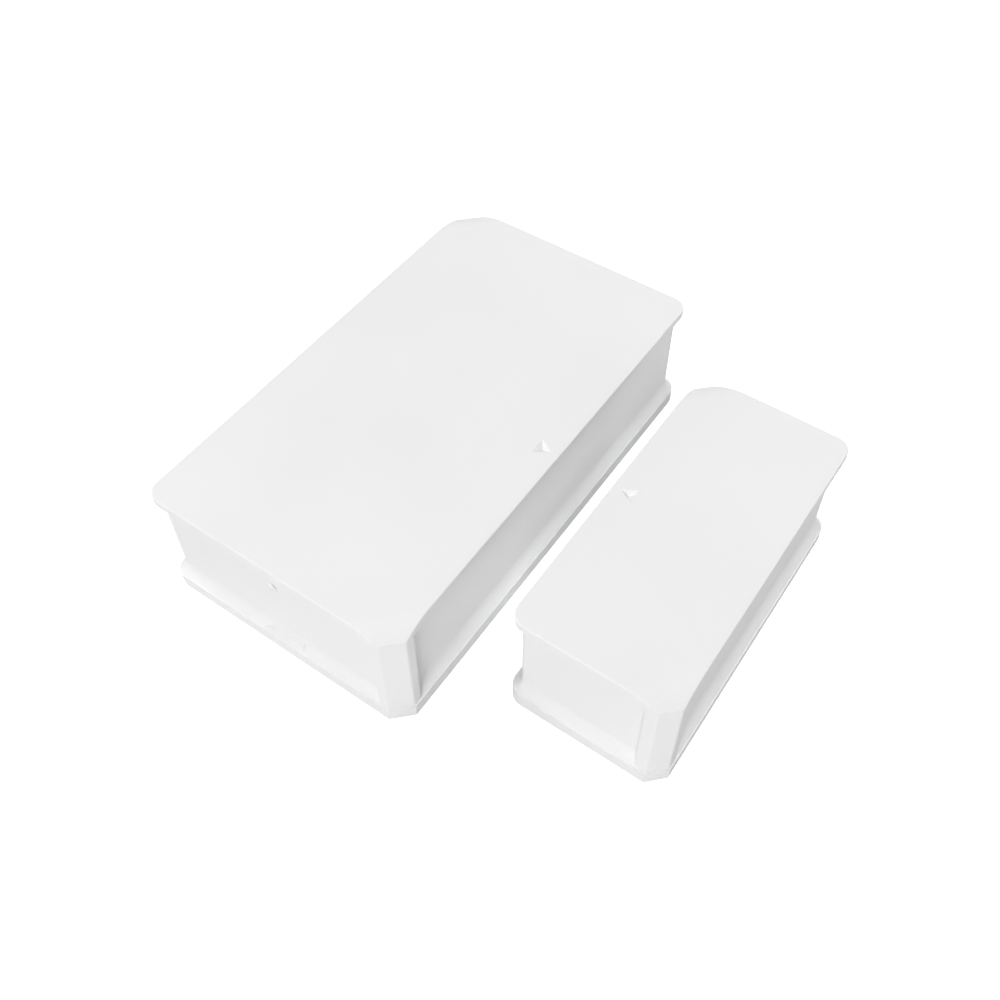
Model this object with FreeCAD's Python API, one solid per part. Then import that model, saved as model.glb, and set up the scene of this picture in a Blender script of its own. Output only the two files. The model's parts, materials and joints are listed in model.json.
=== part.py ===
import FreeCAD, Part
import math
import os
from collections import namedtuple

# Door contact sensor: a sensor case and a magnet case that stand side by side.
# Each case is a flat base plate stuck down with an adhesive pad, and a moulded shell that clips over it.
# Millimetres.  X runs from the sensor case to the magnet case, Y along the long sides, Z up.
# The origin is the centre of the sensor case's stuck-down face.

Case = namedtuple("Case", "name length width chamfer post_band centre_x")

# ---- driving dimensions: the two cases -------------------------------------------------------------
SENSOR_LENGTH = 47.0        # top face of the sensor shell, along Y
SENSOR_WIDTH = 27.0
MAGNET_LENGTH = 32.0        # top face of the magnet shell, along Y
MAGNET_WIDTH = 15.2
CASE_GAP = 5.5              # between the two shells' facing edges, door closed
CASE_HEIGHT = 13.1          # underside of a base plate to the top face of its shell
PAD_PROUD = 0.2             # the adhesive pad stands this far below the base plate

CORNER_RADIUS = 1.5         # two opposite corners of a case are rounded ...
SENSOR_CHAMFER = 1.65       # ... and the other two are cut off square to the diagonal (leg length)
MAGNET_CHAMFER = 1.45
LEAST_CHAMFER = 0.3         # on outlines drawn far inside the case
WALL_INSET = 0.75           # side walls stand back under the top plate's edge
WALL_CORNER_RADIUS = 0.6
PLATE_EDGE = 0.8            # height of the top plate's edge
EDGE_ROUND = 0.12           # rounding round the top face
POST_ROUND = 0.35           # rounding of the upright edges of a chamfered corner
COVE_HEIGHT = 1.4           # the wall flares out again to the seam over this height
SENSOR_POST_BAND = 0.85     # flush band each side of a chamfered corner
MAGNET_POST_BAND = 1.05
FACET_RUN = 1.8             # the top face bends down this far before a chamfered corner
FACET_DROP = 0.9
FACET_BLEND = 3.5           # radius of that bend

BASE_THICK = 1.5
BASE_PROUD = 0.12           # the base plate shows as a fine ledge past the shell
WALL_THICK = 1.1
CEILING_THICK = 1.3
FIT_GAP = 0.12              # between the base plate's rim and the shell
RIM_THICK = 0.8
RIM_HEIGHT = 1.2
PAD_THICK = 0.8
PAD_MARGIN = 1.6            # pad to base plate edge

MARK_SIDE = 1.7             # alignment triangle pressed into each top face
MARK_DEPTH = 0.35
MARK_SETBACK = 0.78         # its tip to the edge of the top face
MARK_DRAFT = 0.42           # the sides slope almost to a point

NOTCH_LEFT = -2.6           # pry notch in the sensor shell's flare, on the -Y side
NOTCH_RIGHT = 2.5
NOTCH_DEPTH = 0.56          # at the seam
NOTCH_END_RUN = 0.8         # its two ends slope in over this length
NOTCH_LEAN = 1.0            # its right end leans out this much on the way up
PIN_HOLE_X = -0.3
PIN_HOLE_D = 0.6
PIN_HOLE_SINK_D = 1.1
PIN_HOLE_SINK = 0.15

BUMP_LENGTH = 3.0           # ridges on the plate's rim that hold the shell down
BUMP_HEIGHT = 0.3
BUMP_BELOW_RIM = 0.2        # ridge to the top of the rim
BUMP_CLEAR = 0.04
CELL_RIB_WIDTH = 1.0        # ribs under the coin cell
PILLAR_DEPTH = 2.0          # pillars under the magnet's foam

# ---- driving dimensions: circuit board -------------------------------------------------------------
BOARD_THICK = 1.0
BOARD_GAP = 0.35            # board edge to shell
BOARD_BELOW_CEILING = 4.0   # top of the board to the shell's ceiling
BOSS_D = 2.2                # the board is held against four round bosses
BOSS_INSET = 1.7
HOOK_LENGTH = 3.0           # wedges on the shell's walls that hold the board up
HOOK_PROUD = 0.65
HOOK_HEIGHT = 0.7
HOOK_FROM_END = 7.5         # middle of a hook to the board's end

# ---- driving dimensions: coin cell and holder ------------------------------------------------------
CELL_D = 20.0               # 2032 coin cell
CELL_THICK = 3.2
CELL_CLEAR_BELOW = 0.3      # above the base plate's rim
CELL_Y = 3.0
CELL_WALL = 0.25
CELL_ROUND = 0.5
CELL_CAP_D = 17.2
CAP_ROUND = 0.3
HOLDER_GAP = 0.15
HOLDER_WALL = 0.95
HOLDER_OPENING_DEG = 70.0
HOLDER_BRIDGE = 0.8         # ring left above each opening
CLIP_THICK = 0.25           # positive clip: a curved strip, an arm and a leg up to the board
CLIP_DEG = 40.0
CLIP_GAP = 0.06             # to the cell's rim
CLIP_LIFT = 0.4             # above the holder's lower edge
CLIP_ARM_WIDTH = 3.0
CLIP_ARM_REACH = 1.2        # past the holder
LEAF_WIDTH = 4.0            # negative contact: an arched leaf
LEAF_THICK = 0.2
LEAF_HALF = 5.0
LEAF_FOOT = 1.5
LEAF_CROWN = 1.0            # half of the flat that touches the cell
LEAF_MITRE = 0.1
LEAF_GAP = 0.02

# ---- driving dimensions: reed switch ---------------------------------------------------------------
GLASS_D = 2.2
GLASS_BORE = 1.5
GLASS_LENGTH = 12.4
GLASS_SEAL = 1.3
GLASS_END_ROUND = 0.7
GLASS_CLEAR = 0.15          # above the board
REED_FROM_EDGE = 1.7        # axis of the glass to the board's +X edge
BLADE_WIDTH = 0.9
BLADE_THICK = 0.18
BLADE_OVERLAP = 1.2
LEAD_D = 0.5
LEAD_REACH = 2.2            # straight lead outside the glass
LEAD_BEND = 0.6

# ---- driving dimensions: pairing switch and lamp ---------------------------------------------------
SWITCH_WIDTH = 4.2          # side-pushed switch behind the pin-hole
SWITCH_DEPTH = 2.8
SWITCH_HEIGHT = 2.6
SWITCH_COVER = 0.2          # thickness of its steel face
COVER_TAB = 1.6             # tabs of the face folded back over the sides
COVER_TAB_DROP = 0.5
PLUNGER_D = 1.3
PLUNGER_STEM = 0.75
PLUNGER_FLANGE_D = 1.8
PLUNGER_FLANGE = 0.3
PLUNGER_TO_WALL = 0.2
PLUNGER_TRAVEL = 0.25
PLUNGER_REST_GAP = 0.02
DOME_THICK = 0.08
RUNNING_GAP = 0.05
LED_X = 3.6
LED_BASE = (1.6, 0.9, 0.3)
LED_LENS = (1.0, 0.8, 0.4)

# ---- driving dimensions: radio module and chips ----------------------------------------------------
MODULE_X = -3.5
MODULE_Y = 8.0
MODULE_WIDTH = 12.0
MODULE_LENGTH = 17.0
MODULE_THICK = 0.8
CAN_WIDTH = 10.4            # shield can
CAN_LENGTH = 11.0
CAN_HEIGHT = 1.8
CAN_THICK = 0.2
CAN_ROUND = 0.6
CAN_FROM_END = 0.6          # to the module's -Y end
RADIO_CHIP = (5.0, 5.0, 0.85)
RADIO_CHIP_OFF = (-1.2, -1.5)
ANTENNA_TRACK = 0.5
ANTENNA_THICK = 0.1
ANTENNA_PITCH = 1.0
ANTENNA_LEGS = 9
ANTENNA_LENGTH = 3.4
ANTENNA_FROM_END = 0.6
CRYSTAL = (3.2, 2.5, 0.7)
CRYSTAL_ROUND = 0.25
CRYSTAL_X = -6.5
CRYSTAL_Y = -8.0
CHIP_ROW_Y = -14.0          # first chip of each row
CAPACITOR = (1.6, 0.8, 0.8)
CAPACITOR_X = 5.0
CAPACITOR_PITCH = 2.4
CAPACITOR_COUNT = 5
RESISTOR = (1.0, 0.5, 0.35)
RESISTOR_X = 2.0
RESISTOR_PITCH = 1.9
RESISTOR_COUNT = 6

# ---- driving dimensions: magnet --------------------------------------------------------------------
BAR_LENGTH = 20.0
BAR_WIDTH = 6.0
BAR_HEIGHT = 5.0
BAR_CHAMFER = 0.3
BAR_BELOW_CEILING = 0.4
FOAM_THICK = 2.0
FOAM_SIDE_GAP = 0.3         # foam stands back from the bar's sides ...
FOAM_END_GAP = 1.0          # ... and from its ends
CRADLE_THICK = 1.0          # walls of the shell that hold the bar

# ---- worked out ------------------------------------------------------------------------------------
SEAM_Z = PAD_PROUD + BASE_THICK
TOP_Z = PAD_PROUD + CASE_HEIGHT
CEILING_Z = TOP_Z - CEILING_THICK
CAVITY_INSET = WALL_INSET + WALL_THICK
RIM_TOP_Z = SEAM_Z + RIM_HEIGHT
BOARD_TOP_Z = CEILING_Z - BOARD_BELOW_CEILING
BOARD_BOTTOM_Z = BOARD_TOP_Z - BOARD_THICK
BOARD_LENGTH = SENSOR_LENGTH - 2 * (CAVITY_INSET + BOARD_GAP)
BOARD_WIDTH = SENSOR_WIDTH - 2 * (CAVITY_INSET + BOARD_GAP)

CELL_Z = RIM_TOP_Z + CELL_CLEAR_BELOW
CELL_TOP_Z = CELL_Z + CELL_THICK
HOLDER_INNER = CELL_D / 2 + HOLDER_GAP
HOLDER_OUTER = HOLDER_INNER + HOLDER_WALL
OPENING_TOP_Z = BOARD_BOTTOM_Z - HOLDER_BRIDGE

REED_X = BOARD_WIDTH / 2 - REED_FROM_EDGE
REED_Z = BOARD_TOP_Z + GLASS_CLEAR + GLASS_D / 2
BLADE_ROOT_Y = GLASS_LENGTH / 2 - GLASS_SEAL

PIN_Z = BOARD_TOP_Z + SWITCH_HEIGHT / 2
SWITCH_FRONT_Y = -SENSOR_LENGTH / 2 + CAVITY_INSET + PLUNGER_TO_WALL + PLUNGER_STEM
SWITCH_BODY_Y = SWITCH_FRONT_Y + SWITCH_COVER

CAN_Y = MODULE_Y - (MODULE_LENGTH - CAN_LENGTH) / 2 + CAN_FROM_END
CAN_Z = BOARD_TOP_Z + MODULE_THICK
BAR_Z = CEILING_Z - BAR_BELOW_CEILING - BAR_HEIGHT

MAGNET_X = SENSOR_WIDTH / 2 + CASE_GAP + MAGNET_WIDTH / 2
SENSOR = Case("sensor", SENSOR_LENGTH, SENSOR_WIDTH, SENSOR_CHAMFER, SENSOR_POST_BAND, 0.0)
MAGNET = Case("magnet", MAGNET_LENGTH, MAGNET_WIDTH, MAGNET_CHAMFER, MAGNET_POST_BAND, MAGNET_X)

UP = FreeCAD.Vector(0, 0, 1)
ALONG = FreeCAD.Vector(0, 1, 0)
TOLERANCE = 0.001


# ---- helpers ---------------------------------------------------------------------------------------
def vec(x, y, z=0.0):
    return FreeCAD.Vector(x, y, z)


def block(x0, x1, y0, y1, z0, z1):
    return Part.makeBox(x1 - x0, y1 - y0, z1 - z0, vec(x0, y0, z0))


def centred_block(x, y, z0, width, depth, height):
    return block(x - width / 2, x + width / 2, y - depth / 2, y + depth / 2, z0, z0 + height)


def chip(x, y, z0, size):
    return centred_block(x, y, z0, *size)


def rod(diameter, height, base, axis=UP):
    return Part.makeCylinder(diameter / 2, height, base, axis)


def fuse_all(shapes):
    return shapes[0].multiFuse(shapes[1:]).removeSplitter()


def upright_edges(solid):
    """Straight edges that run up the solid."""
    lines = [e for e in solid.Edges if e.Curve.TypeId == "Part::GeomLine"]
    return [e for e in lines if e.BoundBox.ZLength > e.Length / 2]


def circle_edges(solid, z_min, z_max):
    """Round edges that lie between two heights."""
    return [e for e in solid.Edges if e.Curve.TypeId == "Part::GeomCircle"
            and e.BoundBox.ZMin > z_min and e.BoundBox.ZMax < z_max]


def polygon_prism(points, direction):
    return Part.Face(Part.makePolygon(points + points[:1])).extrude(direction)


def save(name, shape):
    """One STEP per piece; a group of loose pieces is a compound of its solids."""
    solids = shape.Solids
    result = solids[0] if len(solids) == 1 else Part.makeCompound(solids)
    if not result.isValid():
        raise RuntimeError(name + " is not a valid solid")
    result.exportStep("parts/" + name + ".step")
    print(name, len(solids), "solid(s)", round(result.Volume, 2), "mm3")


# ---- the case outline ------------------------------------------------------------------------------
def case_outline(case, inset, z, radius):
    """Outline of a case at height z, drawn in from its edge by inset.

    The (-X,-Y) and (+X,+Y) corners are rounded, the other two are chamfered.
    """
    hw = case.width / 2 - inset
    hl = case.length / 2 - inset
    leg = max(case.chamfer - inset * (2 - math.sqrt(2)), LEAST_CHAMFER)
    bulge = radius * (1 - math.sqrt(0.5))
    half = [
        vec(-hw, -hl + radius, z),
        vec(-hw + bulge, -hl + bulge, z),
        vec(-hw + radius, -hl, z),
        vec(hw - leg, -hl, z),
        vec(hw, -hl + leg, z),
    ]
    edges = []
    for turn in (1, -1):
        start, middle, end, chamfer_a, chamfer_b = [vec(turn * p.x, turn * p.y, p.z) for p in half]
        next_start = vec(-turn * half[0].x, -turn * half[0].y, z)
        edges.append(Part.Arc(start, middle, end).toShape())
        edges.append(Part.makeLine(end, chamfer_a))
        edges.append(Part.makeLine(chamfer_a, chamfer_b))
        edges.append(Part.makeLine(chamfer_b, next_start))
    wire = Part.Wire(edges)
    wire.translate(vec(case.centre_x, 0))
    return wire


def case_prism(case, inset, z0, z1, radius):
    return Part.Face(case_outline(case, inset, z0, radius)).extrude(vec(0, 0, z1 - z0))


def chamfered_corners(case):
    """The two square corners that the chamfers cut off, each with the sign of its X."""
    return [(sign, vec(case.centre_x + sign * case.width / 2, -sign * case.length / 2)) for sign in (1, -1)]


# ---- shells ----------------------------------------------------------------------------------------
def facet_cutter(case, sign, corner):
    """What is cut off the top face where it bends down to a chamfered corner."""
    slope = math.atan2(FACET_DROP, FACET_RUN / math.sqrt(2))
    tangent = FACET_BLEND * math.tan(slope / 2)
    bend = (case.chamfer + FACET_RUN) / math.sqrt(2)
    beyond = 2.0                # how far the cutter reaches past the case
    inward = vec(-sign, sign) * math.sqrt(0.5)

    def at(distance, z):
        return corner + inward * distance + vec(0, 0, z)

    start = at(bend + tangent, TOP_Z)
    end = at(bend - tangent * math.cos(slope), TOP_Z - tangent * math.sin(slope))
    arc_centre_z = TOP_Z - FACET_BLEND
    middle = at(bend + tangent - FACET_BLEND * math.sin(slope / 2),
                arc_centre_z + FACET_BLEND * math.cos(slope / 2))
    low = at(-beyond, TOP_Z - (bend + beyond) * math.tan(slope))
    edges = [
        Part.Arc(start, middle, end).toShape(),
        Part.makeLine(end, low),
        Part.makeLine(low, at(-beyond, TOP_Z + beyond)),
        Part.makeLine(at(-beyond, TOP_Z + beyond), at(bend + tangent, TOP_Z + beyond)),
        Part.makeLine(at(bend + tangent, TOP_Z + beyond), start),
    ]
    across = vec(inward.y, -inward.x) * case.width
    face = Part.Face(Part.Wire(edges))
    face.translate(across * -0.5)
    return face.extrude(across)


def cove(case):
    """Concave flare from the seam up to the wall, an arc tangent to the wall."""
    radius = (COVE_HEIGHT ** 2 + WALL_INSET ** 2) / (2 * WALL_INSET)
    steps = 6                   # sections in the loft
    sections = []
    for i in range(steps + 1):
        rise = COVE_HEIGHT * i / steps
        inset = WALL_INSET - radius + math.sqrt(radius ** 2 - (COVE_HEIGHT - rise) ** 2)
        corner = CORNER_RADIUS + (WALL_CORNER_RADIUS - CORNER_RADIUS) * inset / WALL_INSET
        sections.append(case_outline(case, inset, SEAM_Z + rise, corner))
    return Part.makeLoft(sections, True, False)


def post_edges(solid):
    """The upright edges of the two chamfered corners: the ones between flat faces."""
    flat = [f for f in solid.Faces if f.Surface.TypeId == "Part::GeomPlane"]
    return [e for e in upright_edges(solid) if sum(any(e.isSame(x) for x in f.Edges) for f in flat) == 2]


def top_edges(solid, foot):
    """Edges that run round the top, each directly above the bottom outline (foot)."""
    uprights = upright_edges(solid)
    lowest = TOP_Z - 1.5 * FACET_DROP
    found = []
    for edge in solid.Edges:
        if edge.BoundBox.ZMin < lowest or any(edge.isSame(e) for e in uprights):
            continue
        below = [Part.Vertex(p.x, p.y, SEAM_Z) for p in edge.discretize(5)]
        if all(foot.distToShape(spot)[0] < TOLERANCE for spot in below):
            found.append(edge)
    return found


def outer_case(case):
    """The shell as a solid: top plate, walls set back under it, flare and flush corner posts."""
    full = case_prism(case, 0, SEAM_Z, TOP_Z, CORNER_RADIUS)
    full = full.makeFillet(POST_ROUND, post_edges(full))
    foot = min(full.Faces, key=lambda face: face.CenterOfMass.z).OuterWire
    for sign, corner in chamfered_corners(case):
        full = full.cut(facet_cutter(case, sign, corner))
    lowered = full.copy()
    lowered.translate(vec(0, 0, -PLATE_EDGE))
    plate = full.cut(lowered)
    full = full.makeFillet(EDGE_ROUND, top_edges(full, foot))
    kept = [case_prism(case, WALL_INSET, SEAM_Z, TOP_Z, WALL_CORNER_RADIUS), plate, cove(case)]
    reach = case.chamfer + case.post_band
    for _, corner in chamfered_corners(case):
        kept.append(centred_block(corner.x, corner.y, SEAM_Z, 2 * reach, 2 * reach, CASE_HEIGHT))
    return full.common(fuse_all(kept))


def triangle(tip_x, direction, side, z):
    """Triangle in a top face whose tip points along direction."""
    height = side * math.sqrt(3) / 2
    back = tip_x - direction * height
    points = [vec(tip_x, 0, z), vec(back, side / 2, z), vec(back, -side / 2, z)]
    return Part.makePolygon(points + points[:1])


def alignment_mark(case, direction):
    tip = case.centre_x + direction * (case.width / 2 - MARK_SETBACK)
    wall = MARK_DRAFT / MARK_DEPTH
    sections = []
    for depth in (-MARK_DEPTH, MARK_DEPTH):
        draw_in = depth * wall
        side = MARK_SIDE - 2 * math.sqrt(3) * draw_in
        sections.append(triangle(tip - direction * 2 * draw_in, direction, side, TOP_Z - depth))
    return Part.makeLoft(sections, True, True)


def shell(case, mark_direction):
    body = outer_case(case).cut(case_prism(case, CAVITY_INSET, SEAM_Z - 1, CEILING_Z, WALL_CORNER_RADIUS))
    return body.cut(alignment_mark(case, mark_direction))


def pry_notch():
    """What is cut out of the flare on the -Y side: a face that leans back to the wall."""
    edge_y = -SENSOR_LENGTH / 2
    wall_y = edge_y + WALL_INSET
    sections = []
    for z, y, lean in ((SEAM_Z, edge_y + NOTCH_DEPTH, 0.0), (SEAM_Z + COVE_HEIGHT, wall_y, NOTCH_LEAN)):
        right = NOTCH_RIGHT + lean
        points = [
            vec(NOTCH_LEFT, edge_y - 1, z),
            vec(right, edge_y - 1, z),
            vec(right, edge_y, z),
            vec(right - NOTCH_END_RUN, y, z),
            vec(NOTCH_LEFT + NOTCH_END_RUN, y, z),
            vec(NOTCH_LEFT, edge_y, z),
        ]
        sections.append(Part.makePolygon(points + points[:1]))
    return Part.makeLoft(sections, True, True)


def pin_hole():
    """Hole for a pin through the -Y wall, with a countersunk mouth."""
    wall_y = -SENSOR_LENGTH / 2 + WALL_INSET
    hole = rod(PIN_HOLE_D, 2 * WALL_THICK, vec(PIN_HOLE_X, wall_y - WALL_THICK / 2, PIN_Z), ALONG)
    mouth = Part.makeCone(PIN_HOLE_SINK_D / 2, PIN_HOLE_D / 2, PIN_HOLE_SINK, vec(PIN_HOLE_X, wall_y, PIN_Z),
                          ALONG)
    return hole.fuse(mouth)


def board_hook(sx, sy):
    """Wedge on the shell's long wall that the board is pushed past."""
    wall = sx * (SENSOR_WIDTH / 2 - CAVITY_INSET)
    y0 = sy * (BOARD_LENGTH / 2 - HOOK_FROM_END) - HOOK_LENGTH / 2
    points = [
        vec(wall, y0, BOARD_BOTTOM_Z),
        vec(wall - sx * HOOK_PROUD, y0, BOARD_BOTTOM_Z),
        vec(wall, y0, BOARD_BOTTOM_Z - HOOK_HEIGHT),
    ]
    return polygon_prism(points, ALONG * HOOK_LENGTH)


def sensor_shell():
    added = [shell(SENSOR, 1).cut(pry_notch()).cut(pin_hole())]
    for sx in (1, -1):
        for sy in (1, -1):
            spot = vec(sx * (BOARD_WIDTH / 2 - BOSS_INSET), sy * (BOARD_LENGTH / 2 - BOSS_INSET), BOARD_TOP_Z)
            added.append(rod(BOSS_D, BOARD_BELOW_CEILING, spot))
            added.append(board_hook(sx, sy))
    return fuse_all(added)


def magnet_shell():
    """Shell with a cradle under its ceiling: end walls, side ribs and stops round the bar."""
    added = [shell(MAGNET, -1)]
    half_width = MAGNET_WIDTH / 2 - CAVITY_INSET
    half_cradle = CRADLE_THICK / 2
    for sy in (1, -1):
        y0, y1 = sorted((sy * BAR_LENGTH / 2, sy * (BAR_LENGTH / 2 + CRADLE_THICK)))
        added.append(block(MAGNET_X - half_width, MAGNET_X + half_width, y0, y1, BAR_Z, CEILING_Z))
        rib_y = sy * BAR_LENGTH / 4
        for sx in (1, -1):
            x0, x1 = sorted((MAGNET_X + sx * BAR_WIDTH / 2, MAGNET_X + sx * half_width))
            added.append(block(x0, x1, rib_y - half_cradle, rib_y + half_cradle, BAR_Z, CEILING_Z))
        added.append(centred_block(MAGNET_X, rib_y, CEILING_Z - BAR_BELOW_CEILING, BAR_WIDTH, CRADLE_THICK,
                                   BAR_BELOW_CEILING))
    return fuse_all(added)


# ---- base plates and pads --------------------------------------------------------------------------
def base_plate(case):
    """Flat plate, a rim inside the shell, ridges on the rim and a shallow pocket for the pad."""
    plate = case_prism(case, -BASE_PROUD, PAD_PROUD, SEAM_Z, CORNER_RADIUS + BASE_PROUD)
    rim_out = CAVITY_INSET + FIT_GAP
    rim = case_prism(case, rim_out, SEAM_Z, RIM_TOP_Z, WALL_CORNER_RADIUS)
    rim = rim.cut(case_prism(case, rim_out + RIM_THICK, SEAM_Z, RIM_TOP_Z, WALL_CORNER_RADIUS))
    pocket = case_prism(case, PAD_MARGIN - RUNNING_GAP, 0, PAD_THICK, CORNER_RADIUS)
    added = [plate, rim]
    bump_z = RIM_TOP_Z - BUMP_BELOW_RIM - BUMP_HEIGHT
    for sx in (1, -1):
        rim_x = case.centre_x + sx * (case.width / 2 - rim_out)
        x0, x1 = sorted((rim_x - sx * RIM_THICK / 2, rim_x + sx * (FIT_GAP - BUMP_CLEAR)))
        for sy in (1, -1):
            y0 = sy * case.length / 4 - BUMP_LENGTH / 2
            added.append(block(x0, x1, y0, y0 + BUMP_LENGTH, bump_z, bump_z + BUMP_HEIGHT))
    return fuse_all(added).cut(pocket)


def adhesive_pad(case):
    return case_prism(case, PAD_MARGIN, 0, PAD_THICK, CORNER_RADIUS)


def sensor_base():
    """The sensor's plate also carries two ribs that stop the cell falling out of its holder."""
    ribs = [base_plate(SENSOR)]
    for sx in (1, -1):
        ribs.append(centred_block(sx * CELL_D / 4, CELL_Y, SEAM_Z, CELL_RIB_WIDTH, CELL_D / 2, RIM_HEIGHT))
    return fuse_all(ribs)


def magnet_base():
    """The magnet's plate carries two pillars that press the foam against the bar."""
    height = BAR_Z - FOAM_THICK - SEAM_Z
    pillars = [base_plate(MAGNET)]
    for sy in (1, -1):
        pillars.append(centred_block(MAGNET_X, sy * BAR_LENGTH / 4, SEAM_Z, BAR_WIDTH, PILLAR_DEPTH, height))
    return fuse_all(pillars)


# ---- circuit board and what is on it ---------------------------------------------------------------
def circuit_board():
    return centred_block(0, 0, BOARD_BOTTOM_Z, BOARD_WIDTH, BOARD_LENGTH, BOARD_THICK)


def reed_glass():
    """Glass tube with rounded ends, sealed round the two leads."""
    body = rod(GLASS_D, GLASS_LENGTH, vec(REED_X, -GLASS_LENGTH / 2, REED_Z), ALONG)
    body = body.makeFillet(GLASS_END_ROUND, circle_edges(body, BOARD_TOP_Z, CEILING_Z))
    bore = rod(GLASS_BORE, 2 * BLADE_ROOT_Y, vec(REED_X, -BLADE_ROOT_Y, REED_Z), ALONG)
    lead = rod(LEAD_D, 2 * GLASS_LENGTH, vec(REED_X, -GLASS_LENGTH, REED_Z), ALONG)
    return body.cut(bore).cut(lead)


def reed_lead(sign):
    """Round lead from inside the seal, out and down to the board."""
    reach = GLASS_LENGTH / 2 + LEAD_REACH
    corner = LEAD_BEND * (1 - math.sqrt(0.5))

    def at(y, drop):
        return vec(REED_X, sign * y, REED_Z - drop)

    bend_start = at(reach - LEAD_BEND, 0)
    bend_end = at(reach, LEAD_BEND)
    path = Part.Wire([
        Part.makeLine(at(BLADE_ROOT_Y, 0), bend_start),
        Part.Arc(bend_start, at(reach - corner, corner), bend_end).toShape(),
        Part.makeLine(bend_end, at(reach, REED_Z - BOARD_TOP_Z)),
    ])
    section = Part.Wire([Part.makeCircle(LEAD_D / 2, at(BLADE_ROOT_Y, 0), ALONG * sign)])
    return path.makePipeShell([section], True, False)


def fixed_blade():
    """The -Y lead flattened into a blade that ends under the moving one."""
    blade = block(REED_X - BLADE_WIDTH / 2, REED_X + BLADE_WIDTH / 2, -BLADE_ROOT_Y, BLADE_OVERLAP / 2,
                  REED_Z - BLADE_THICK, REED_Z)
    return fuse_all([reed_lead(-1), blade])


def moving_blade():
    """Upper blade, touching the lower one while the magnet is near."""
    return block(REED_X - BLADE_WIDTH / 2, REED_X + BLADE_WIDTH / 2, -BLADE_OVERLAP / 2,
                 BLADE_ROOT_Y - RUNNING_GAP, REED_Z, REED_Z + BLADE_THICK)


def switch_body():
    """Switch housing with a round pocket for the plunger's flange and the dome."""
    half = SWITCH_WIDTH / 2
    body = block(PIN_HOLE_X - half, PIN_HOLE_X + half, SWITCH_BODY_Y, SWITCH_FRONT_Y + SWITCH_DEPTH,
                 BOARD_TOP_Z, BOARD_TOP_Z + SWITCH_HEIGHT)
    depth = PLUNGER_FLANGE + 2 * PLUNGER_TRAVEL + 2 * DOME_THICK
    pocket = vec(PIN_HOLE_X, SWITCH_BODY_Y, PIN_Z)
    return body.cut(rod(PLUNGER_FLANGE_D + 2 * RUNNING_GAP, depth, pocket, ALONG))


def switch_cover():
    """Steel face plate with a hole for the plunger and a tab folded back over each side."""
    half = SWITCH_WIDTH / 2
    plate = block(PIN_HOLE_X - half, PIN_HOLE_X + half, SWITCH_FRONT_Y, SWITCH_BODY_Y,
                  BOARD_TOP_Z, BOARD_TOP_Z + SWITCH_HEIGHT)
    hole = rod(PLUNGER_D + 2 * RUNNING_GAP, 2 * SWITCH_COVER,
               vec(PIN_HOLE_X, SWITCH_FRONT_Y - SWITCH_COVER / 2, PIN_Z), ALONG)
    parts = [plate.cut(hole)]
    tab_top = BOARD_TOP_Z + SWITCH_HEIGHT - COVER_TAB_DROP
    for sx in (1, -1):
        x0, x1 = sorted((PIN_HOLE_X + sx * half, PIN_HOLE_X + sx * (half + SWITCH_COVER)))
        parts.append(block(x0, x1, SWITCH_FRONT_Y, SWITCH_FRONT_Y + COVER_TAB, BOARD_TOP_Z, tab_top))
    return fuse_all(parts)


def switch_plunger():
    tip = SWITCH_FRONT_Y - PLUNGER_STEM
    flange_y = SWITCH_BODY_Y + PLUNGER_REST_GAP
    stem = rod(PLUNGER_D, flange_y - tip, vec(PIN_HOLE_X, tip, PIN_Z), ALONG)
    flange = rod(PLUNGER_FLANGE_D, PLUNGER_FLANGE, vec(PIN_HOLE_X, flange_y, PIN_Z), ALONG)
    return fuse_all([stem, flange])


def switch_dome():
    """Contact disc that the plunger reaches at the end of its travel."""
    y = SWITCH_BODY_Y + PLUNGER_FLANGE + PLUNGER_TRAVEL + 4 * PLUNGER_REST_GAP
    return rod(PLUNGER_FLANGE_D, DOME_THICK, vec(PIN_HOLE_X, y, PIN_Z), ALONG)


def status_led():
    y = SWITCH_BODY_Y + LED_BASE[1] / 2
    lens_z = BOARD_TOP_Z + LED_BASE[2]
    return fuse_all([chip(LED_X, y, BOARD_TOP_Z, LED_BASE), chip(LED_X, y, lens_z, LED_LENS)])


def radio_module_board():
    return centred_block(MODULE_X, MODULE_Y, BOARD_TOP_Z, MODULE_WIDTH, MODULE_LENGTH, MODULE_THICK)


def radio_shield_can():
    """Drawn steel can, open towards the module."""
    outer = centred_block(MODULE_X, CAN_Y, CAN_Z, CAN_WIDTH, CAN_LENGTH, CAN_HEIGHT)
    outer = outer.makeFillet(CAN_ROUND, upright_edges(outer))
    inner = centred_block(MODULE_X, CAN_Y, CAN_Z, CAN_WIDTH - 2 * CAN_THICK, CAN_LENGTH - 2 * CAN_THICK,
                          CAN_HEIGHT - CAN_THICK)
    return outer.cut(inner.makeFillet(CAN_ROUND - CAN_THICK, upright_edges(inner)))


def radio_chip():
    off_x, off_y = RADIO_CHIP_OFF
    return chip(MODULE_X + off_x, CAN_Y + off_y, CAN_Z, RADIO_CHIP)


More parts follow.
